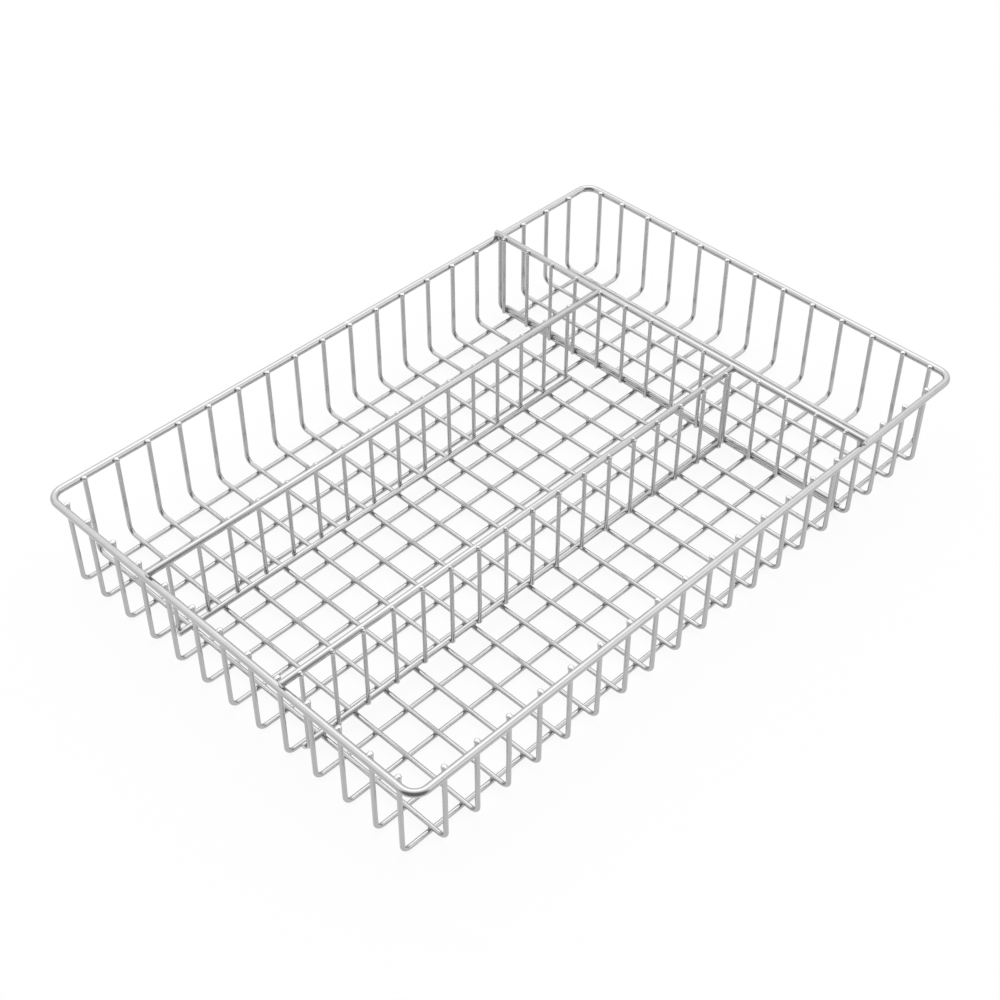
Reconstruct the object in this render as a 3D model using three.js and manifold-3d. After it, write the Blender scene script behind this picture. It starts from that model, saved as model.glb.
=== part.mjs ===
// Steel wire drawer organizer: a welded wire tray with a heavier rim and three welded wire dividers.
// Millimetres, +Z up. The origin is on the surface that the tray stands on, under the middle of the rim.
// +X runs along the length, towards the compartment behind the cross divider. +Y runs to the back.
import * as THREE from 'three';
import { mergeVertices } from 'three/addons/utils/BufferGeometryUtils.js';
import Module from 'manifold-3d';

// Overall sizes of the tray
const trayLength = 400; // over the outside of the rim, along X
const trayWidth = 269; // over the outside of the rim, along Y
const rimHeight = 53.4; // from the surface below to the centre of the rim wire

// Wire diameters
const rimWire = 4.1;
const meshWire = 2.5; // the U wires of the tray
const uprightWire = 2.1; // the uprights of the dividers
const topRailWire = 3.8;
const bottomRailWire = 3.3;

// Bends, measured to the centre of the wire
const rimCornerRadius = 8;
const floorBendRadius = 4.5;

// The wires are welded where they cross. This small gap keeps each one a separate solid.
const weldGap = 0.2;
const weldSink = 0.2; // how far an upright sinks into a rail that it is joined to

// Wires along the length: each runs down one end wall, along the floor and up the other end wall
const longWireCount = 13;
const longWireEndGap = 17.5; // from each outermost wire to the next one
const longWireFromCorner = 4.7; // from the start of the rim's corner bend to the outermost wire

// Wires across the width: they lie on the long wires and run up the front and back walls
const crossWireCount = 19;
const crossWireFromCorner = 12.2; // from the start of the rim's corner bend to the outermost wire

// Free wire ends
const tipRise = 2.2; // top of a wall wire above the centre of the rim
const uprightRise = 0.7; // top of a divider upright above the centre of its top rail
const combFootDrop = 0.6; // foot of a long divider's upright below the centre of its bottom rail
const crossFootDrop = 3; // the same for the cross divider, whose uprights reach past the rail
const railOverhang = 0.5; // how far a top rail reaches past the centre of the rim that it rests on
const combOverhang = 2; // how far a bottom rail reaches past its outermost uprights

// The cross divider stands on this cross wire, counted from the left, with its uprights on the left
const crossDividerWire = 16;
const crossUprightCount = 14;
const crossUprightFromBackRim = 8.4; // from the centre of the rim to the outermost upright
const crossUprightFromFrontRim = 10.8;

// Each long divider stands between two long wires: after this many, counted from the front.
// Its uprights stand a little behind the middle of that gap, and on the side of its rails that faces
// away from the middle of the tray.
const longDividers = [
  {
    name: 'front_divider',
    wiresInFront: 4,
    uprightSide: -1,
    behindMidway: 1.8,
    uprightCount: 17,
    firstUprightFromRim: 9.9,
    lastUprightFromCrossDivider: 6,
  },
  {
    name: 'back_divider',
    wiresInFront: 9,
    uprightSide: 1,
    behindMidway: 2,
    uprightCount: 16,
    firstUprightFromRim: 12.9,
    lastUprightFromCrossDivider: 21.3,
  },
];

// Roundness of the solids
const wireSides = 8;
const floorBendSteps = 4;
const rimCornerSteps = 5;

const steelColour = 0xb9bbbd;
const steelRoughness = 0.3;
const steelMetalness = 1;

const wasm = await Module();
wasm.setup();

// Levels and lines that several pieces share
const rimHalfLength = (trayLength - rimWire) / 2;
const rimHalfWidth = (trayWidth - rimWire) / 2;
const longWireZ = meshWire / 2;
const crossWireZ = longWireZ + meshWire + weldGap;
const floorTop = crossWireZ + meshWire / 2;
const bottomRailZ = floorTop + weldGap + bottomRailWire / 2;
const topRailZ = rimHeight + rimWire / 2 + weldGap + topRailWire / 2;
const topRailUnderside = topRailZ - topRailWire / 2;
const wallInset = rimWire / 2 + weldGap + meshWire / 2; // centre of the rim to the centre of a wall wire

const longWireY = longWirePlaces();
const outerCrossWireX = rimHalfLength - rimCornerRadius - crossWireFromCorner;
const crossWireX = spread(-outerCrossWireX, outerCrossWireX, crossWireCount);

// The cross divider's uprights stand beside the floor wire that carries its bottom rail
const crossRailX = crossWireX[crossDividerWire - 1];
const crossUprightX = crossRailX - bottomRailWire / 2 - weldGap - uprightWire / 2;
const crossTopRailX = crossUprightX + uprightWire / 2 + weldGap + topRailWire / 2;

// Equal steps from the first place to the last
function spread(first, last, count) {
  const step = (last - first) / (count - 1);
  return Array.from({ length: count }, (_, k) => first + k * step);
}

// The long wires are evenly spaced but for the outermost ones, which stand closer
function longWirePlaces() {
  const outer = rimHalfWidth - rimCornerRadius - longWireFromCorner;
  const next = outer - longWireEndGap;
  return [-outer, ...spread(-next, next, longWireCount - 2), outer];
}

// The centre line of a wire, as stations that each hold a point and the direction of the wire there
class WireLine extends THREE.Curve {
  constructor(stations) {
    super();
    this.stations = stations;
  }

  stationAt(share) {
    return this.stations[Math.round(share * (this.stations.length - 1))];
  }

  getPointAt(share) {
    return this.stationAt(share).point.clone();
  }

  getTangentAt(share) {
    return this.stationAt(share).direction.clone();
  }
}

// Stations along straight runs between corners, with an arc of the given radius at each corner
function bentLine(corners, bendRadius, bendSteps) {
  const runs = corners.slice(1).map((corner, k) => corner.clone().sub(corners[k]).normalize());
  const stations = [{ point: corners[0], direction: runs[0] }];
  for (let k = 1; k < runs.length; k++) {
    const before = runs[k - 1];
    const turn = before.angleTo(runs[k]);
    const axis = new THREE.Vector3().crossVectors(before, runs[k]).normalize();
    const inward = new THREE.Vector3().crossVectors(axis, before);
    const start = corners[k].clone().addScaledVector(before, -bendRadius * Math.tan(turn / 2));
    const centre = start.addScaledVector(inward, bendRadius);
    for (let step = 0; step <= bendSteps; step++) {
      const angle = (turn * step) / bendSteps;
      const spoke = inward.clone().applyAxisAngle(axis, angle);
      const point = centre.clone().addScaledVector(spoke, -bendRadius);
      stations.push({ point, direction: before.clone().applyAxisAngle(axis, angle) });
    }
  }
  stations.push({ point: corners.at(-1), direction: runs.at(-1) });
  return stations;
}

// A regular section whose flats lie on the wire's true diameter
function wireSection(diameter) {
  const half = Math.PI / wireSides;
  const radius = diameter / 2 / Math.cos(half);
  const points = Array.from({ length: wireSides }, (_, k) => {
    const angle = half * (2 * k + 1);
    return new THREE.Vector2(radius * Math.cos(angle), radius * Math.sin(angle));
  });
  return new THREE.Shape(points);
}

function wireGeometry(stations, diameter) {
  return new THREE.ExtrudeGeometry(wireSection(diameter), {
    extrudePath: new WireLine(stations),
    steps: stations.length - 1,
    bevelEnabled: false,
  });
}

function straightWire(from, to, diameter) {
  return wireGeometry(bentLine([from, to]), diameter);
}

function steelPiece(name, geometry) {
  const material = new THREE.MeshStandardMaterial({
    color: steelColour,
    roughness: steelRoughness,
    metalness: steelMetalness,
  });
  const mesh = new THREE.Mesh(geometry, material);
  mesh.name = name;
  return mesh;
}

function numbered(name, k) {
  return `${name}_${String(k + 1).padStart(2, '0')}`;
}

// Joins closed geometries into one solid
function weld(geometries) {
  const solids = geometries.map((geometry) => {
    const bare = geometry.clone();
    bare.deleteAttribute('normal');
    bare.deleteAttribute('uv');
    const merged = mergeVertices(bare);
    const vertProperties = merged.getAttribute('position').array;
    const triVerts = Uint32Array.from(merged.getIndex().array);
    return new wasm.Manifold(new wasm.Mesh({ numProp: 3, vertProperties, triVerts }));
  });
  const joined = solids.reduce((whole, solid) => whole.add(solid)).getMesh();
  const geometry = new THREE.BufferGeometry();
  geometry.setAttribute('position', new THREE.BufferAttribute(joined.vertProperties, 3));
  geometry.setIndex(new THREE.BufferAttribute(joined.triVerts, 1));
  geometry.computeVertexNormals();
  return geometry;
}

// A U wire lies in its own X-Z plane: down one wall, along the floor and up the other wall
function trayWire(rimHalf, floorZ, tipZ) {
  const wall = rimHalf - wallInset;
  const corners = [
    new THREE.Vector3(-wall, 0, tipZ),
    new THREE.Vector3(-wall, 0, floorZ),
    new THREE.Vector3(wall, 0, floorZ),
    new THREE.Vector3(wall, 0, tipZ),
  ];
  return wireGeometry(bentLine(corners, floorBendRadius, floorBendSteps), meshWire);
}

// The rim is one wire bent round the tray. Its ends meet in a butt weld in the middle of the back.
function rim() {
  const corners = [
    new THREE.Vector3(weldGap / 2, rimHalfWidth, rimHeight),
    new THREE.Vector3(rimHalfLength, rimHalfWidth, rimHeight),
    new THREE.Vector3(rimHalfLength, -rimHalfWidth, rimHeight),
    new THREE.Vector3(-rimHalfLength, -rimHalfWidth, rimHeight),
    new THREE.Vector3(-rimHalfLength, rimHalfWidth, rimHeight),
    new THREE.Vector3(-weldGap / 2, rimHalfWidth, rimHeight),
  ];
  return steelPiece('rim', wireGeometry(bentLine(corners, rimCornerRadius, rimCornerSteps), rimWire));
}

function longWires() {
  return longWireY.map((y, k) => {
    const wire = steelPiece(
      numbered('long_wire', k),
      trayWire(rimHalfLength, longWireZ, rimHeight + tipRise),
    );
    wire.position.y = y;
    return wire;
  });
}

// The cross wire under the cross divider stays below that divider's top rail
function crossWires() {
  return crossWireX.map((x, k) => {
    const carriesDivider = k === crossDividerWire - 1;
    const highest = carriesDivider ? topRailUnderside - weldGap : Infinity;
    const tipZ = Math.min(rimHeight + tipRise, highest);
    const wire = steelPiece(numbered('cross_wire', k), trayWire(rimHalfWidth, crossWireZ, tipZ));
    wire.rotation.z = Math.PI / 2;
    wire.position.x = x;
    return wire;
  });
}

// The bottom rail lies on the flat stretch of its floor wire, and the top rail lies across the rim
function crossDivider() {
  const group = new THREE.Group();
  const railEnd = rimHalfWidth - wallInset - floorBendRadius;
  const topEnd = rimHalfWidth + railOverhang;
  const bottomRail = straightWire(
    new THREE.Vector3(crossRailX, -railEnd, bottomRailZ),
    new THREE.Vector3(crossRailX, railEnd, bottomRailZ),
    bottomRailWire,
  );
  const topRail = straightWire(
    new THREE.Vector3(crossTopRailX, -topEnd, topRailZ),
    new THREE.Vector3(crossTopRailX, topEnd, topRailZ),
    topRailWire,
  );
  group.add(steelPiece('cross_divider_bottom_rail', bottomRail));
  group.add(steelPiece('cross_divider_top_rail', topRail));

  const footZ = bottomRailZ - crossFootDrop;
  const places = spread(
    -rimHalfWidth + crossUprightFromFrontRim,
    rimHalfWidth - crossUprightFromBackRim,
    crossUprightCount,
  );
  places.forEach((y, k) => {
    const upright = straightWire(
      new THREE.Vector3(crossUprightX, y, footZ),
      new THREE.Vector3(crossUprightX, y, topRailZ + uprightRise),
      uprightWire,
    );
    group.add(steelPiece(numbered('cross_divider_upright', k), upright));
  });
  return group;
}

// A comb is a bottom rail with its uprights welded to one side. It stands on the cross wires.
// The top rail lies on the left rim and meets the uprights of the cross divider.
function longDivider(divider) {
  const group = new THREE.Group();
  const { uprightSide: side, wiresInFront } = divider;
  const midway = (longWireY[wiresInFront - 1] + longWireY[wiresInFront]) / 2;
  const uprightY = midway + divider.behindMidway;
  const bottomY = uprightY - side * (uprightWire / 2 + bottomRailWire / 2 - weldSink);
  const topY = uprightY - side * (uprightWire / 2 + weldGap + topRailWire / 2);

  const places = spread(
    -rimHalfLength + divider.firstUprightFromRim,
    crossUprightX - divider.lastUprightFromCrossDivider,
    divider.uprightCount,
  );
  const bottomRail = straightWire(
    new THREE.Vector3(places[0] - combOverhang, bottomY, bottomRailZ),
    new THREE.Vector3(places.at(-1) + combOverhang, bottomY, bottomRailZ),
    bottomRailWire,
  );
  const uprights = places.map((x) =>
    straightWire(
      new THREE.Vector3(x, uprightY, bottomRailZ - combFootDrop),
      new THREE.Vector3(x, uprightY, topRailZ + uprightRise),
      uprightWire,
    ),
  );
  const topRail = straightWire(
    new THREE.Vector3(-rimHalfLength - railOverhang, topY, topRailZ),
    new THREE.Vector3(crossUprightX - uprightWire / 2 - weldGap, topY, topRailZ),
    topRailWire,
  );
  group.add(steelPiece(`${divider.name}_comb`, weld([bottomRail, ...uprights])));
  group.add(steelPiece(`${divider.name}_top_rail`, topRail));
  return group;
}

const organizer = new THREE.Group();
organizer.add(rim(), ...longWires(), ...crossWires(), crossDivider());
organizer.add(...longDividers.map(longDivider));

export default organizer;
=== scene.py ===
import math

import bpy
from mathutils import Matrix, Vector


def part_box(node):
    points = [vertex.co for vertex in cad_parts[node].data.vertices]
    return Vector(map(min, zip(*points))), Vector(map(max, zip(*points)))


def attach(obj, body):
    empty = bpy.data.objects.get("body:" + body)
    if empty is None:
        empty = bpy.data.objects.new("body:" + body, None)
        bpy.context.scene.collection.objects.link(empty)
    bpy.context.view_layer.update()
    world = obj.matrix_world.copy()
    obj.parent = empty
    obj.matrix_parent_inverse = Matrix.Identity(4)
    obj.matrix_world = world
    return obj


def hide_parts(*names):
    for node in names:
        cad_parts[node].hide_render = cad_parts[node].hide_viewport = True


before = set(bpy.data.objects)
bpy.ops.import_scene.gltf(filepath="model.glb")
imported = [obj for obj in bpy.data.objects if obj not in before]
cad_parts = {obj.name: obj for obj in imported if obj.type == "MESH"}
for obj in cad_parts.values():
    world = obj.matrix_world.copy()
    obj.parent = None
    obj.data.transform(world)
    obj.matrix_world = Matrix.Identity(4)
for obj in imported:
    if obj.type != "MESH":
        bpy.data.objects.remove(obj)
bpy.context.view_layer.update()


# Long wires: bright plated steel wire, the lowest layer of the mesh. Each is one length with both ends bent up,
# so that it makes the floor and the two end walls. The sheared ends are rounded over and stand above the rim.
MESH_WIRE = 0.0025
MESH_SIDES = 16
FLOOR_BEND = 0.0045
BEND_STEPS = 8
QUARTER_TURN = math.pi / 2
UP, DOWN, RIGHT = (0, 0, 1), (0, 0, -1), (1, 0, 0)
WALL_SET = 0.00065  # how far a wall wire is pressed towards the rim
WIRE_SMOOTHING = math.radians(50)
# The outline of an end: the width of each ring and its depth from the tip, as shares of the wire's radius
ROUNDED_END = ((0.36, 0.0), (0.72, 0.10), (1.02, 0.34), (1.17, 0.74), (1.20, 1.15), (1.12, 1.80), (1.0, 2.60))


def draw_wire(name, thickness, sides, start, heading, end, moves):
    """Draws a round wire from a shaped end at start to a like end.

    A move is a straight length, or a new heading and the radius of the bend into it.
    """
    at, heading, radius = Vector(start), Vector(heading), thickness / 2
    bpy.ops.object.select_all(action="DESELECT")
    bpy.ops.mesh.primitive_circle_add(vertices=sides, radius=radius * end[0][0], fill_type="NGON", location=at,
                                      rotation=heading.to_track_quat("Z", "X").to_euler())
    wire = bpy.context.object
    wire.name = wire.data.name = name
    bpy.ops.object.transform_apply(location=True, rotation=True, scale=True)
    bpy.ops.object.mode_set(mode="EDIT")
    bpy.ops.mesh.select_all(action="SELECT")

    end_depth = radius * end[-1][1]
    between_ends = list(moves)
    between_ends[0] -= end_depth
    between_ends[-1] -= end_depth
    closing = end[::-1]
    steps = [(radius * (b[1] - a[1]), b[0] / a[0]) for a, b in zip(end, end[1:])]
    steps += [(move, 1.0) for move in between_ends]
    steps += [(radius * (a[1] - b[1]), b[0] / a[0]) for a, b in zip(closing, closing[1:])]
    along, rings = 0.0, [0.0]
    for move, widen in steps:
        if isinstance(move, tuple):
            turned, bend = Vector(move[0]), move[1]
            bpy.ops.mesh.spin(steps=BEND_STEPS, angle=QUARTER_TURN, center=at + turned * bend,
                              axis=turned.cross(heading))
            at = at + (turned + heading) * bend
            heading = turned
            rings += [along + bend * QUARTER_TURN * (k + 1) / BEND_STEPS for k in range(BEND_STEPS)]
            along = rings[-1]
            continue
        at = at + heading * move
        bpy.ops.mesh.extrude_region_move(TRANSFORM_OT_translate={"value": heading * move})
        if widen != 1.0:
            bpy.ops.transform.resize(value=(widen, widen, widen), center_override=at)
        along += move
        rings.append(along)
    bpy.ops.mesh.select_all(action="SELECT")
    bpy.ops.mesh.normals_make_consistent(inside=False)
    bpy.ops.object.mode_set(mode="OBJECT")
    bpy.ops.object.shade_smooth_by_angle(angle=WIRE_SMOOTHING)

    # What the steel reads: each point's place along and round the wire, and how near it is to an end, where the steel
    # turns more matt and paler, the paler tone a painted highlight on the tips
    wire.data.attributes.new("wire_run", "FLOAT_VECTOR", "POINT")
    wire.data.attributes.new("matt_and_painted_highlight_end", "FLOAT", "POINT")
    run, end_matt_and_highlight = wire.data.attributes["wire_run"], wire.data.attributes["matt_and_painted_highlight_end"]
    for point in wire.data.vertices:
        turn = 2 * math.pi * (point.index % sides) / sides
        ring = rings[point.index // sides]
        run.data[point.index].vector = (ring, radius * math.cos(turn), radius * math.sin(turn))
        end_matt_and_highlight.data[point.index].value = max(0.0, 1.0 - min(ring, along - ring) / end_depth)
    return wire


def copy_to(piece, name, step):
    """A copy of a piece with its own mesh, moved by a step."""
    bpy.ops.object.select_all(action="DESELECT")
    piece.select_set(True)
    bpy.context.view_layer.objects.active = piece
    bpy.ops.object.duplicate(linked=False)
    twin = bpy.context.object
    twin.name = twin.data.name = name
    bpy.ops.transform.translate(value=step)
    bpy.ops.object.transform_apply(location=True, rotation=True, scale=True)
    return twin


# The plating's own unevenness, for every steel surface here: drawing lines along the wire, clouds of haze, and a
# slow change of tone that comes from both.
LINES_DETAIL, LINES_ROUGHNESS = 3.0, 0.6
CLOUDS_DETAIL = 1.5
LINES_IN_TONE = 0.65
AS_PLACED = 1.0  # each steel scales the places itself, so the noise doesn't

plating = bpy.data.node_groups.new("plating_unevenness", "ShaderNodeTree")
plating.interface.new_socket("Lines At", in_out="INPUT", socket_type="NodeSocketVector")
plating.interface.new_socket("Clouds At", in_out="INPUT", socket_type="NodeSocketVector")
plating.interface.new_socket("Tone", in_out="OUTPUT", socket_type="NodeSocketFloat")
plating.interface.new_socket("Haze", in_out="OUTPUT", socket_type="NodeSocketFloat")
plating.interface.new_socket("Lines", in_out="OUTPUT", socket_type="NodeSocketFloat")
given = plating.nodes.new("NodeGroupInput")
made = plating.nodes.new("NodeGroupOutput")
lines = plating.nodes.new("ShaderNodeTexNoise")
lines.inputs["Scale"].default_value = AS_PLACED
lines.inputs["Detail"].default_value = LINES_DETAIL
lines.inputs["Roughness"].default_value = LINES_ROUGHNESS
clouds = plating.nodes.new("ShaderNodeTexNoise")
clouds.inputs["Scale"].default_value = AS_PLACED
clouds.inputs["Detail"].default_value = CLOUDS_DETAIL
tone = plating.nodes.new("ShaderNodeMix")
tone.inputs["Factor"].default_value = LINES_IN_TONE
plating.links.new(given.outputs["Lines At"], lines.inputs["Vector"])
plating.links.new(given.outputs["Clouds At"], clouds.inputs["Vector"])
plating.links.new(clouds.outputs["Fac"], tone.inputs["A"])
plating.links.new(lines.outputs["Fac"], tone.inputs["B"])
plating.links.new(tone.outputs["Result"], made.inputs["Tone"])
plating.links.new(clouds.outputs["Fac"], made.inputs["Haze"])
plating.links.new(lines.outputs["Fac"], made.inputs["Lines"])

UNEVEN_LOW, UNEVEN_HIGH = 0.3, 0.7  # where nearly all of the unevenness lies
LINES_STRENGTH = 0.5


def steel(name, dark, light, smooth, rough, relief):
    """A plated steel between two tones and two roughnesses; the caller links where its lines and clouds lie."""
    finish = bpy.data.materials.new(name)
    finish.use_nodes = True
    nodes, links = finish.node_tree.nodes, finish.node_tree.links
    shader = nodes["Principled BSDF"]
    shader.inputs["Metallic"].default_value = 1.0
    uneven = nodes.new("ShaderNodeGroup")
    uneven.node_tree = plating
    tones = nodes.new("ShaderNodeValToRGB")
    darkest, lightest = tones.color_ramp.elements
    darkest.position, darkest.color = UNEVEN_LOW, (*dark, 1.0)
    lightest.position, lightest.color = UNEVEN_HIGH, (*light, 1.0)
    links.new(uneven.outputs["Tone"], tones.inputs["Fac"])
    links.new(tones.outputs["Color"], shader.inputs["Base Color"])
    gloss = nodes.new("ShaderNodeMapRange")
    gloss.inputs["From Min"].default_value, gloss.inputs["From Max"].default_value = UNEVEN_LOW, UNEVEN_HIGH
    gloss.inputs["To Min"].default_value, gloss.inputs["To Max"].default_value = smooth, rough
    links.new(uneven.outputs["Haze"], gloss.inputs["Value"])
    links.new(gloss.outputs["Result"], shader.inputs["Roughness"])
    bump = nodes.new("ShaderNodeBump")
    bump.inputs["Strength"].default_value = LINES_STRENGTH
    bump.inputs["Distance"].default_value = relief
    links.new(uneven.outputs["Lines"], bump.inputs["Height"])
    links.new(bump.outputs["Normal"], shader.inputs["Normal"])
    return finish, nodes, links, uneven


def scaled(nodes, links, places, scale):
    """Places multiplied by a scale, for a pattern of that many waves in a metre."""
    times = nodes.new("ShaderNodeVectorMath")
    times.operation = "MULTIPLY"
    times.inputs[1].default_value = scale
    links.new(places, times.inputs[0])
    return times.outputs["Vector"]


# The wires' bright steel: its drawing lines follow the wire, and towards an end it is more matt, and paler as a
# painted highlight on the tips.
WIRE_DARK, WIRE_LIGHT = (0.44, 0.44, 0.444), (0.52, 0.52, 0.524)
WIRE_SMOOTH, WIRE_ROUGH = 0.10, 0.20
WIRE_RELIEF = 0.00001
WIRE_LINES = (18.0, 2600.0, 2600.0)  # along the wire, and round it
WIRE_TO_WIRE = (31.0, 31.0, 31.0)  # moves the lines on, so that no two wires are alike
WIRE_CLOUDS = (160.0, 160.0, 160.0)
# The paler steel that an end's base colour goes to: a painted highlight on the wire tips.
PAINTED_HIGHLIGHT_STEEL = (0.70, 0.70, 0.704, 1.0)
FROSTED_ROUGH = 0.36

wire_steel, nodes, links, uneven = steel("bright_wire_steel", WIRE_DARK, WIRE_LIGHT, WIRE_SMOOTH, WIRE_ROUGH,
                                         WIRE_RELIEF)
run = nodes.new("ShaderNodeAttribute")
run.attribute_name = "wire_run"
place = nodes.new("ShaderNodeTexCoord")
apart = nodes.new("ShaderNodeVectorMath")
apart.operation = "MULTIPLY_ADD"
apart.inputs[1].default_value = WIRE_TO_WIRE
links.new(place.outputs["Object"], apart.inputs[0])
links.new(scaled(nodes, links, run.outputs["Vector"], WIRE_LINES), apart.inputs[2])
links.new(apart.outputs["Vector"], uneven.inputs["Lines At"])
links.new(scaled(nodes, links, place.outputs["Object"], WIRE_CLOUDS), uneven.inputs["Clouds At"])
end = nodes.new("ShaderNodeAttribute")
end.attribute_name = "matt_and_painted_highlight_end"
frosting = nodes.new("ShaderNodeMix")
frosting.inputs["B"].default_value = FROSTED_ROUGH
links.new(end.outputs["Fac"], frosting.inputs["Factor"])
links.new(nodes["Map Range"].outputs["Result"], frosting.inputs["A"])
links.new(frosting.outputs["Result"], nodes["Principled BSDF"].inputs["Roughness"])
# Towards an end the base colour pales: a painted highlight on the tips.
painted_highlight_mix = nodes.new("ShaderNodeMixRGB")
painted_highlight_mix.inputs["Color2"].default_value = PAINTED_HIGHLIGHT_STEEL
links.new(end.outputs["Fac"], painted_highlight_mix.inputs["Fac"])
links.new(nodes["Color Ramp"].outputs["Color"], painted_highlight_mix.inputs["Color1"])
links.new(painted_highlight_mix.outputs["Color"], nodes["Principled BSDF"].inputs["Base Color"])


def fit(piece, finish, *cad_nodes):
    """Gives a piece its finish and puts it in the tray, in place of its CAD nodes if it has any."""
    piece.data.materials.clear()
    piece.data.materials.append(finish)
    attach(piece, "root")
    if cad_nodes:
        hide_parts(*cad_nodes)


long_wires = sorted(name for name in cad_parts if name.startswith("long_wire_"))
low, high = map(Vector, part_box(long_wires[0]))
long_floor = low.z + MESH_WIRE / 2
left_wall, right_wall = low.x + MESH_WIRE / 2 - WALL_SET, high.x - MESH_WIRE / 2 + WALL_SET
first_y = (low.y + high.y) / 2
rise = high.z - long_floor - FLOOR_BEND
floor_run = right_wall - left_wall - 2 * FLOOR_BEND
pattern = draw_wire("round_" + long_wires[0], MESH_WIRE, MESH_SIDES, (left_wall, first_y, high.z), DOWN, ROUNDED_END,
                    [rise, (RIGHT, FLOOR_BEND), floor_run, (UP, FLOOR_BEND), rise])
long_places = []
for node in long_wires:
    low, high = map(Vector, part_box(node))
    long_places.append((low.y + high.y) / 2)
    step = (0, long_places[-1] - first_y, 0)
    piece = pattern if node == long_wires[0] else copy_to(pattern, "round_" + node, step)
    fit(piece, wire_steel, node)


# Cross wires: the same wire as the long ones, bent the same way, laid across on top of them. They make the front
# and back walls. Only the wire under the cross divider is cut shorter, so each tip height comes from its own node.
BACK = (0, 1, 0)
SAME_HEIGHT = 5  # decimals of a metre

cross_wires = sorted(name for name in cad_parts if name.startswith("cross_wire_"))
low, high = map(Vector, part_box(cross_wires[0]))
cross_floor = low.z + MESH_WIRE / 2
front_wall, back_wall = low.y + MESH_WIRE / 2 - WALL_SET, high.y - MESH_WIRE / 2 + WALL_SET
floor_run = back_wall - front_wall - 2 * FLOOR_BEND
cross_places, patterns = [], {}
for node in cross_wires:
    low, high = map(Vector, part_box(node))
    x = (low.x + high.x) / 2
    cross_places.append(x)
    cut = round(high.z, SAME_HEIGHT)
    if cut in patterns:
        pattern, pattern_x = patterns[cut]
        piece = copy_to(pattern, "round_" + node, (x - pattern_x, 0, 0))
    else:
        rise = high.z - cross_floor - FLOOR_BEND
        piece = draw_wire("round_" + node, MESH_WIRE, MESH_SIDES, (x, front_wall, high.z), DOWN, ROUNDED_END,
                          [rise, (BACK, FLOOR_BEND), floor_run, (UP, FLOOR_BEND), rise])
        patterns[cut] = (piece, x)
    fit(piece, wire_steel, node)


# Floor welds: a resistance spot weld at each crossing of a cross wire and a long wire. A little steel is squeezed
# out between the two wires and plated over; its rough steel is darker, as painted shade where the wires cross.
PAINTED_SHADE_WELD_DARK, PAINTED_SHADE_WELD_LIGHT = (0.28, 0.28, 0.284), (0.46, 0.46, 0.464)
WELD_SMOOTH, WELD_ROUGH = 0.26, 0.44
WELD_RELIEF = 0.00004
WELD_LINES, WELD_CLOUDS = (1500.0, 1500.0, 1500.0), (420.0, 420.0, 420.0)
WELD_SEGMENTS, WELD_RINGS = 8, 5
WELD_SMOOTHING = math.radians(80)
WELD_UNEVEN = 0.12  # a share of the weld's smallest half size
WELD_SEED = 5
FLOOR_WELD = (0.00150, 0.00150, 0.00085)

# This weld steel is darker than the wire's: painted shade where wires and rails meet and at the feet.
painted_shade_weld_steel, nodes, links, uneven = steel("spot_weld_steel_painted_shade", PAINTED_SHADE_WELD_DARK, PAINTED_SHADE_WELD_LIGHT, WELD_SMOOTH, WELD_ROUGH,
                                         WELD_RELIEF)
place = nodes.new("ShaderNodeTexCoord")
links.new(scaled(nodes, links, place.outputs["Object"], WELD_LINES), uneven.inputs["Lines At"])
links.new(scaled(nodes, links, place.outputs["Object"], WELD_CLOUDS), uneven.inputs["Clouds At"])


def spot_welds(name, size, places, finish=painted_shade_weld_steel):
    """One squeezed-out weld spot of half sizes `size`, copied to each place, all in one piece."""
    bpy.ops.object.select_all(action="DESELECT")
    bpy.ops.mesh.primitive_uv_sphere_add(segments=WELD_SEGMENTS, ring_count=WELD_RINGS, radius=1.0, location=places[0])
    welds = bpy.context.object
    welds.name = welds.data.name = name
    bpy.ops.object.transform_apply(location=True, rotation=True, scale=True)
    bpy.ops.object.mode_set(mode="EDIT")
    bpy.ops.mesh.select_all(action="SELECT")
    bpy.ops.transform.resize(value=size, center_override=places[0])
    for last, place in zip(places, places[1:]):
        bpy.ops.mesh.duplicate_move(TRANSFORM_OT_translate={"value": Vector(place) - Vector(last)})
    bpy.ops.mesh.select_all(action="SELECT")
    bpy.ops.transform.vertex_random(offset=min(size) * WELD_UNEVEN, uniform=0.0, normal=1.0, seed=WELD_SEED)
    bpy.ops.mesh.normals_make_consistent(inside=False)
    bpy.ops.object.mode_set(mode="OBJECT")
    bpy.ops.object.shade_smooth_by_angle(angle=WELD_SMOOTHING)
    fit(welds, finish)


contact = (long_floor + cross_floor) / 2
spot_welds("floor_welds", FLOOR_WELD, [(x, y, contact) for y in long_places for x in cross_places])


# Rim: one heavier plated wire bent round the top edge outside the walls, with a butt weld in the middle of the back.
# The weld is ground flush, which leaves a faint dip.
RIM_WIRE = 0.0041
RIM_SIDES = 24
RIM_BEND = 0.008
FRONT, LEFT = (0, -1, 0), (-1, 0, 0)
BUTT_END = ((0.985, 0.0), (1.0, 0.6))
MELTED_TOGETHER = 0.00002  # how near the points of the two ends lie

low, high = map(Vector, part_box("rim"))
rim_x, rim_y, rim_z = high.x - RIM_WIRE / 2, high.y - RIM_WIRE / 2, (low.z + high.z) / 2
half_side, end_run = rim_x - RIM_BEND, 2 * (rim_y - RIM_BEND)
rim = draw_wire("round_rim", RIM_WIRE, RIM_SIDES, (0, rim_y, rim_z), RIGHT, BUTT_END,
                [half_side, (FRONT, RIM_BEND), end_run, (LEFT, RIM_BEND), 2 * half_side, (BACK, RIM_BEND), end_run,
                 (RIGHT, RIM_BEND), half_side])

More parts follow.
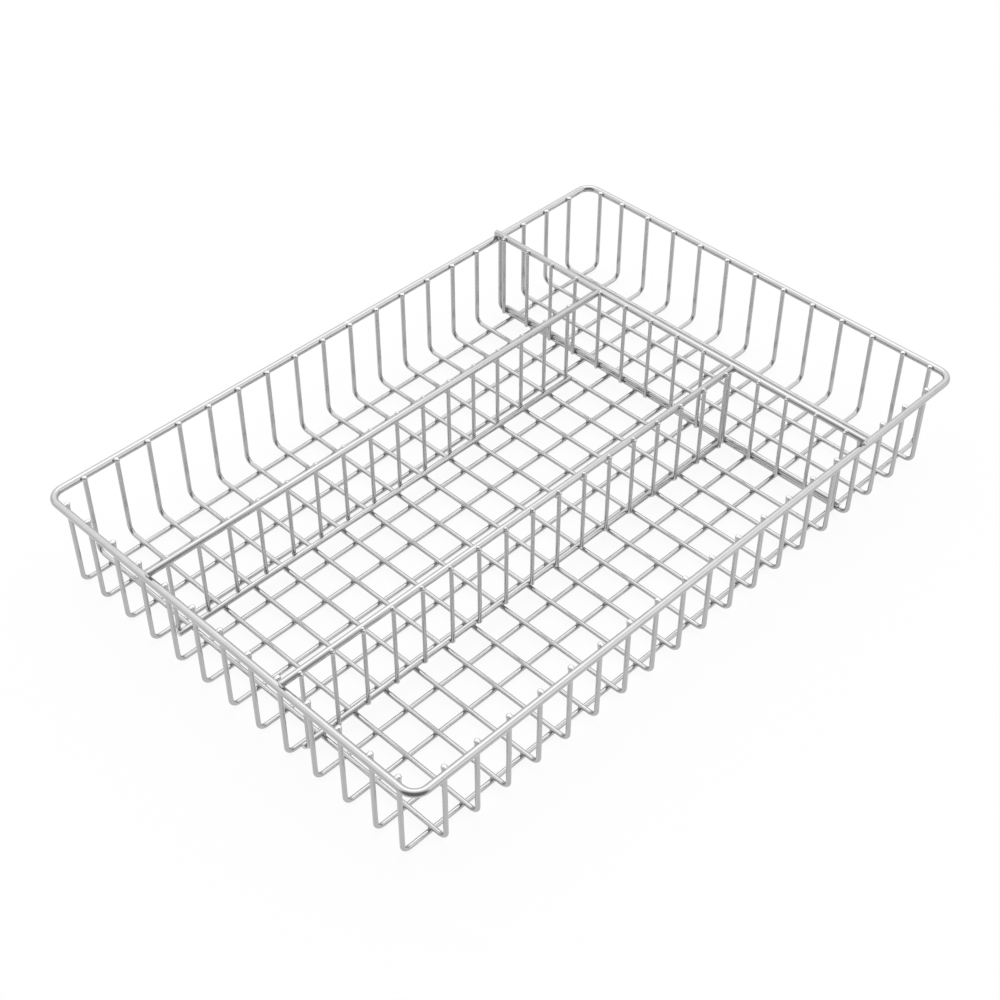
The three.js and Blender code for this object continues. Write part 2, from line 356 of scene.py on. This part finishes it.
# The butt weld: the two end faces go, and the ends become one.
bpy.ops.object.mode_set(mode="EDIT")
bpy.ops.mesh.select_all(action="DESELECT")
bpy.ops.object.mode_set(mode="OBJECT")
for face in rim.data.polygons:
    face.select = len(face.vertices) == RIM_SIDES
bpy.ops.object.mode_set(mode="EDIT")
bpy.ops.mesh.delete(type="ONLY_FACE")
bpy.ops.mesh.select_all(action="SELECT")
bpy.ops.mesh.remove_doubles(threshold=MELTED_TOGETHER)
bpy.ops.mesh.normals_make_consistent(inside=False)
bpy.ops.object.mode_set(mode="OBJECT")
fit(rim, wire_steel, "rim")


# Rim welds: each wall wire is spot-welded to the inside of the rim just under its tip. Here, at the top of the tray,
# the squeezed-out steel is a paler copy of the weld steel, a painted highlight.
PAINTED_HIGHLIGHT_WELD_DARK, PAINTED_HIGHLIGHT_WELD_LIGHT = (0.54, 0.54, 0.544, 1.0), (0.70, 0.70, 0.704, 1.0)
RIM_WELD = (0.0016, 0.0016, 0.0012)
RIM_WELD_INSIDE, RIM_WELD_ABOVE = 0.0020, 0.00095  # from the centre of the rim

# A paler copy of the weld steel: a painted highlight on the welds at the top of the tray.
painted_highlight_weld_steel = painted_shade_weld_steel.copy()
painted_highlight_weld_steel.name = "painted_highlight_weld_steel"
darkest, lightest = painted_highlight_weld_steel.node_tree.nodes["Color Ramp"].color_ramp.elements
darkest.color, lightest.color = PAINTED_HIGHLIGHT_WELD_DARK, PAINTED_HIGHLIGHT_WELD_LIGHT
weld_x, weld_y, weld_z = rim_x - RIM_WELD_INSIDE, rim_y - RIM_WELD_INSIDE, rim_z + RIM_WELD_ABOVE
places = [(x, side * weld_y, weld_z) for side in (-1, 1) for x in cross_places]
spot_welds("rim_side_welds", RIM_WELD, places, painted_highlight_weld_steel)
places = [(side * weld_x, y, weld_z) for side in (-1, 1) for y in long_places]
spot_welds("rim_end_welds", RIM_WELD, places, painted_highlight_weld_steel)


# Cross divider: a grille across the tray. Its bottom rail lies along one cross wire, its heavier top rail lies
# across the rim, and uprights of a thinner wire are spot-welded to the side of both rails.
BOTTOM_RAIL = 0.0033
TOP_RAIL = 0.0038
RAIL_SIDES = 24
UPRIGHT_WIRE = 0.0021
UPRIGHT_SET = 0.00045  # how far an upright is pressed into its rails
RAIL_SET = 0.0005  # how far a top rail is pressed into the rim and its uprights
SHEARED_END = ((0.80, 0.0), (0.94, 0.07), (1.0, 0.24))


def straight_wire(name, thickness, sides, start, heading, end, length):
    """A straight wire with like ends."""
    return draw_wire(name, thickness, sides, start, heading, end, [length / 2, length / 2])


low, high = map(Vector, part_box("cross_divider_bottom_rail"))
bottom_z = (low.z + high.z) / 2
cross_bottom_x = (low.x + high.x) / 2
rail = straight_wire("round_cross_divider_bottom_rail", BOTTOM_RAIL, RAIL_SIDES, (cross_bottom_x, low.y, bottom_z),
                     BACK, SHEARED_END, high.y - low.y)
fit(rail, wire_steel, "cross_divider_bottom_rail")

uprights = sorted(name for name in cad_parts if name.startswith("cross_divider_upright_"))
low, high = map(Vector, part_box(uprights[0]))
upright_x, first_y = (low.x + high.x) / 2 + UPRIGHT_SET, (low.y + high.y) / 2
pattern = straight_wire("round_" + uprights[0], UPRIGHT_WIRE, MESH_SIDES, (upright_x, first_y, high.z), DOWN,
                        ROUNDED_END, high.z - low.z)
upright_places = []
for node in uprights:
    low, high = map(Vector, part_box(node))
    upright_places.append((low.y + high.y) / 2)
    step = (0, upright_places[-1] - first_y, 0)
    piece = pattern if node == uprights[0] else copy_to(pattern, "round_" + node, step)
    fit(piece, wire_steel, node)

low, high = map(Vector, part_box("cross_divider_top_rail"))
top_z = (low.z + high.z) / 2 - RAIL_SET
cross_top_x = (low.x + high.x) / 2 - RAIL_SET
rail = straight_wire("round_cross_divider_top_rail", TOP_RAIL, RAIL_SIDES, (cross_top_x, low.y, top_z), BACK,
                     SHEARED_END, high.y - low.y)
fit(rail, wire_steel, "cross_divider_top_rail")

# Its welds: each upright to both rails, the bottom rail to its cross wire, the top rail to the rim at both ends.
CROSS_TOP_WELD = (0.0014, 0.00145, 0.0014)
CROSS_BOTTOM_WELD = (0.0011, 0.0015, 0.0014)
CROSS_FOOT_WELD = (0.0010, 0.0026, 0.0008)
CROSS_RIM_WELD = (0.0017, 0.0016, 0.0011)
TOP_WELD_LIFT = 0.0007  # above the centre of the top rail, at the tip of the upright
FOOT_WELD_DROP = 0.0001

between = (upright_x + cross_top_x - TOP_RAIL / 2 + UPRIGHT_WIRE / 2) / 2
places = [(between, y, top_z + TOP_WELD_LIFT) for y in upright_places]
spot_welds("cross_divider_top_welds", CROSS_TOP_WELD, places, painted_highlight_weld_steel)
between = (upright_x + cross_bottom_x - BOTTOM_RAIL / 2 + UPRIGHT_WIRE / 2) / 2
spot_welds("cross_divider_bottom_welds", CROSS_BOTTOM_WELD, [(between, y, bottom_z) for y in upright_places])
under = bottom_z - BOTTOM_RAIL / 2 - FOOT_WELD_DROP
spot_welds("cross_divider_foot_welds", CROSS_FOOT_WELD, [(cross_bottom_x, y, under) for y in upright_places])
on_rim = (rim_z + RIM_WIRE / 2 + top_z - TOP_RAIL / 2) / 2
places = [(cross_top_x, side * rim_y, on_rim) for side in (-1, 1)]
spot_welds("cross_divider_rim_welds", CROSS_RIM_WELD, places, painted_highlight_weld_steel)


# Long dividers: two grilles along the tray, made like the cross divider. The bottom rail lies across the cross wires
# with the uprights welded to its side, and the top rail lies on the rim at one end and is welded to the cross
# divider's top rail at the other.
FOOT_DROP = 0.0006  # the feet of the uprights below the centre of the bottom rail
BOTTOM_OVERHANG = 0.002  # the bottom rail past its outermost uprights
END_MELT = 0.0008  # the top rail's end in the cross divider's top rail
LONG_TOP_WELD = (0.00145, 0.0014, 0.0014)
LONG_BOTTOM_WELD = (0.0015, 0.0011, 0.0014)
LONG_FOOT_WELD = (0.0014, 0.0017, 0.0009)
LONG_RIM_WELD = (0.0013, 0.0016, 0.0010)
LONG_RIM_WELD_INSIDE = 0.0004  # from the centre of the rim
LONG_END_WELD = (0.0014, 0.0027, 0.0021)

# Each divider with its number of uprights and the side of its rails that they stand on: -1 the front, 1 the back
for divider, count, side in (("front_divider", 17, -1), ("back_divider", 16, 1)):
    comb, top = divider + "_comb", divider + "_top_rail"
    low, high = map(Vector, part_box(comb))
    rail_face, upright_face = (low.y, high.y) if side > 0 else (high.y, low.y)
    rail_y = rail_face + side * BOTTOM_RAIL / 2
    stand_y = upright_face - side * UPRIGHT_WIRE / 2 - side * UPRIGHT_SET
    first, last = low.x + BOTTOM_OVERHANG, high.x - BOTTOM_OVERHANG
    stands = [first + (last - first) * k / (count - 1) for k in range(count)]
    rail = straight_wire("round_" + comb, BOTTOM_RAIL, RAIL_SIDES, (low.x, rail_y, bottom_z), RIGHT, SHEARED_END,
                         high.x - low.x)
    upright = straight_wire(divider + "_upright", UPRIGHT_WIRE, MESH_SIDES, (stands[0], stand_y, high.z), DOWN,
                            ROUNDED_END, high.z - bottom_z + FOOT_DROP)
    grille = [rail, upright] + [copy_to(upright, f"{divider}_upright_{k}", (x - stands[0], 0, 0))
                                for k, x in enumerate(stands) if k]
    bpy.ops.object.select_all(action="DESELECT")
    for piece in grille:
        piece.select_set(True)
    bpy.context.view_layer.objects.active = rail
    bpy.ops.object.join()
    fit(rail, wire_steel, comb)

    low, high = map(Vector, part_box(top))
    top_y = (low.y + high.y) / 2 + side * RAIL_SET
    reach = cross_top_x - TOP_RAIL / 2 + END_MELT - low.x
    rail = straight_wire("round_" + top, TOP_RAIL, RAIL_SIDES, (low.x, top_y, top_z), RIGHT, SHEARED_END, reach)
    fit(rail, wire_steel, top)

    # Its welds: each upright to both rails, the bottom rail to each cross wire, the top rail to the rim and the
    # cross rail.
    between = (stand_y - side * UPRIGHT_WIRE / 2 + top_y + side * TOP_RAIL / 2) / 2
    places = [(x, between, top_z + TOP_WELD_LIFT) for x in stands]
    spot_welds(divider + "_top_welds", LONG_TOP_WELD, places, painted_highlight_weld_steel)
    between = (stand_y - side * UPRIGHT_WIRE / 2 + rail_y + side * BOTTOM_RAIL / 2) / 2
    spot_welds(divider + "_bottom_welds", LONG_BOTTOM_WELD, [(x, between, bottom_z) for x in stands])
    under = (cross_floor + MESH_WIRE / 2 + bottom_z - BOTTOM_RAIL / 2) / 2
    places = [(x, rail_y, under) for x in cross_places if x < stands[-1]]
    spot_welds(divider + "_foot_welds", LONG_FOOT_WELD, places)
    # The rim weld keeps the darker weld steel: painted shade under the rail's end.
    spot_welds(divider + "_rim_welds", LONG_RIM_WELD, [(-rim_x + LONG_RIM_WELD_INSIDE, top_y, on_rim)])
    spot_welds(divider + "_end_welds", LONG_END_WELD, [(cross_top_x - TOP_RAIL / 2, top_y, top_z)])


# Floor: a plain white table top that runs out of view and ends just in front of the tray's near corner. Part of its
# white is its own, more of it for the camera than for the wires' reflections, so that it stays white, and the rest
# takes the light and the tray's shadow.
TABLE_SIZE = 14.0
TABLE_PLACE = (4.81, 4.67, 0)
TABLE_TURN = math.radians(-45.8)
TABLE_WHITE = (0.86, 0.86, 0.86, 1.0)
OWN_WHITE = (1.0, 1.0, 1.0, 1.0)
OWN_TO_WIRES, OWN_TO_EYE = 0.70, 0.90

bpy.ops.object.select_all(action="DESELECT")
bpy.ops.mesh.primitive_plane_add(size=TABLE_SIZE, location=TABLE_PLACE, rotation=(0, 0, TABLE_TURN))
table = bpy.context.object
table.name = "table_top"
white = bpy.data.materials.new("white_table_top")
white.use_nodes = True
nodes, links = white.node_tree.nodes, white.node_tree.links
nodes.remove(nodes["Principled BSDF"])
lit = nodes.new("ShaderNodeBsdfDiffuse")
lit.inputs["Color"].default_value = TABLE_WHITE
own = nodes.new("ShaderNodeEmission")
own.inputs["Color"].default_value = OWN_WHITE
seen = nodes.new("ShaderNodeLightPath")
mirrored = nodes.new("ShaderNodeMath")
mirrored.operation = "MAXIMUM"
to_wires = nodes.new("ShaderNodeMath")
to_wires.operation = "MULTIPLY"
to_wires.inputs[1].default_value = OWN_TO_WIRES
to_eye = nodes.new("ShaderNodeMath")
to_eye.operation = "MULTIPLY"
to_eye.inputs[1].default_value = OWN_TO_EYE
part = nodes.new("ShaderNodeMath")
part.operation = "MAXIMUM"
both = nodes.new("ShaderNodeMixShader")
links.new(seen.outputs["Is Glossy Ray"], mirrored.inputs[0])
links.new(seen.outputs["Is Transmission Ray"], mirrored.inputs[1])
links.new(mirrored.outputs["Value"], to_wires.inputs[0])
links.new(seen.outputs["Is Camera Ray"], to_eye.inputs[0])
links.new(to_wires.outputs["Value"], part.inputs[0])
links.new(to_eye.outputs["Value"], part.inputs[1])
links.new(part.outputs["Value"], both.inputs["Fac"])
links.new(lit.outputs["BSDF"], both.inputs[1])
links.new(own.outputs["Emission"], both.inputs[2])
links.new(both.outputs["Shader"], nodes["Material Output"].inputs["Surface"])
table.data.materials.append(white)


# Light: a pale studio, brightest above, with a large soft box overhead and two lower ones at the front right and the
# back left. On the bright wires they make the white streaks, and the dark side of the room, behind the camera, makes
# dark spots on the near corner, on bends and on welds.
def soft_box(name, size, strength, place):
    """A square soft box that faces the tray, as bright as `strength` times white."""
    lamp = bpy.data.objects.new(name, bpy.data.lights.new(name, "AREA"))
    lamp.data.shape = "SQUARE"
    lamp.data.size = size
    lamp.data.energy = strength * math.pi * size * size
    lamp.location = place
    lamp.rotation_euler = (-lamp.location).to_track_quat("-Z", "Y").to_euler()
    lamp.visible_camera = False
    bpy.context.collection.objects.link(lamp)


soft_box("soft_box_overhead", size=3.0, strength=0.75, place=(1.2, 1.2, 4.2))
soft_box("soft_box_front_right", size=3.0, strength=0.62, place=(2.35, -3.55, 1.9))
soft_box("soft_box_back_left", size=3.4, strength=0.34, place=(-3.15, 2.27, 2.25))

STUDIO_WHITE = (1.0, 1.0, 1.0, 1.0)
TO_BRIGHTEST = Vector((0.33, 0.33, 0.88)).normalized()
BRIGHT_FROM, BRIGHT_FULL = 0.30, 1.05  # cosines of the angle to the brightest place
PLAIN_LEVEL, BRIGHT_LEVEL = 0.84, 1.51
TO_DARK_SIDE = Vector((-0.717, -0.690, 0.087)).normalized()
DARK_FROM, DARK_FULL = 0.30, 0.75  # cosines of the angle to the middle of the dark side
UNDIMMED, DARK_SHARE = 1.0, 0.28
BACKDROP_LEVEL = 1.0

studio = bpy.data.worlds.new("pale_studio")
bpy.context.scene.world = studio
studio.use_nodes = True
nodes, links = studio.node_tree.nodes, studio.node_tree.links
direction = nodes.new("ShaderNodeTexCoord")


def by_angle(towards, cosines, levels):
    """A level that passes smoothly from one value to another as the direction nears `towards`."""
    nearness = nodes.new("ShaderNodeVectorMath")
    nearness.operation = "DOT_PRODUCT"
    nearness.inputs[1].default_value = towards
    level = nodes.new("ShaderNodeMapRange")
    level.interpolation_type = "SMOOTHSTEP"
    level.inputs["From Min"].default_value, level.inputs["From Max"].default_value = cosines
    level.inputs["To Min"].default_value, level.inputs["To Max"].default_value = levels
    links.new(direction.outputs["Generated"], nearness.inputs[0])
    links.new(nearness.outputs["Value"], level.inputs["Value"])
    return level.outputs["Result"]


dimmed = nodes.new("ShaderNodeMath")
dimmed.operation = "MULTIPLY"
links.new(by_angle(TO_BRIGHTEST, (BRIGHT_FROM, BRIGHT_FULL), (PLAIN_LEVEL, BRIGHT_LEVEL)), dimmed.inputs[0])
links.new(by_angle(TO_DARK_SIDE, (DARK_FROM, DARK_FULL), (UNDIMMED, DARK_SHARE)), dimmed.inputs[1])
seen = nodes.new("ShaderNodeLightPath")
backdrop = nodes.new("ShaderNodeMix")
backdrop.inputs["B"].default_value = BACKDROP_LEVEL
links.new(seen.outputs["Is Camera Ray"], backdrop.inputs["Factor"])
links.new(dimmed.outputs["Value"], backdrop.inputs["A"])
links.new(backdrop.outputs["Result"], nodes["Background"].inputs["Strength"])
nodes["Background"].inputs["Color"].default_value = STUDIO_WHITE


# Camera: where the photograph was taken from, above the corner where the front and the left end meet, with the
# lens, the place and the angles that were fitted to the tray's wire tips in the photograph.
SENSOR_MM, LENS_MM = 36.0, 63.1326
NEAREST, FARTHEST = 0.01, 50.0
CAMERA_PLACE = (-0.494712, -0.475191, 0.644663)
CAMERA_TURN, LOOKS_DOWN, CAMERA_ROLL = -45.4011, 42.9060, 0.1273  # degrees

camera = bpy.data.objects.new("camera", bpy.data.cameras.new("camera"))
camera.data.sensor_width = SENSOR_MM
camera.data.lens = LENS_MM
camera.data.clip_start, camera.data.clip_end = NEAREST, FARTHEST
turned = (Matrix.Rotation(math.radians(CAMERA_TURN), 4, "Z") @ Matrix.Rotation(math.radians(90 - LOOKS_DOWN), 4, "X")
          @ Matrix.Rotation(math.radians(CAMERA_ROLL), 4, "Z"))
camera.matrix_world = Matrix.Translation(CAMERA_PLACE) @ turned
bpy.context.collection.objects.link(camera)
bpy.context.scene.camera = camera
bpy.context.scene.view_settings.view_transform = "Standard"
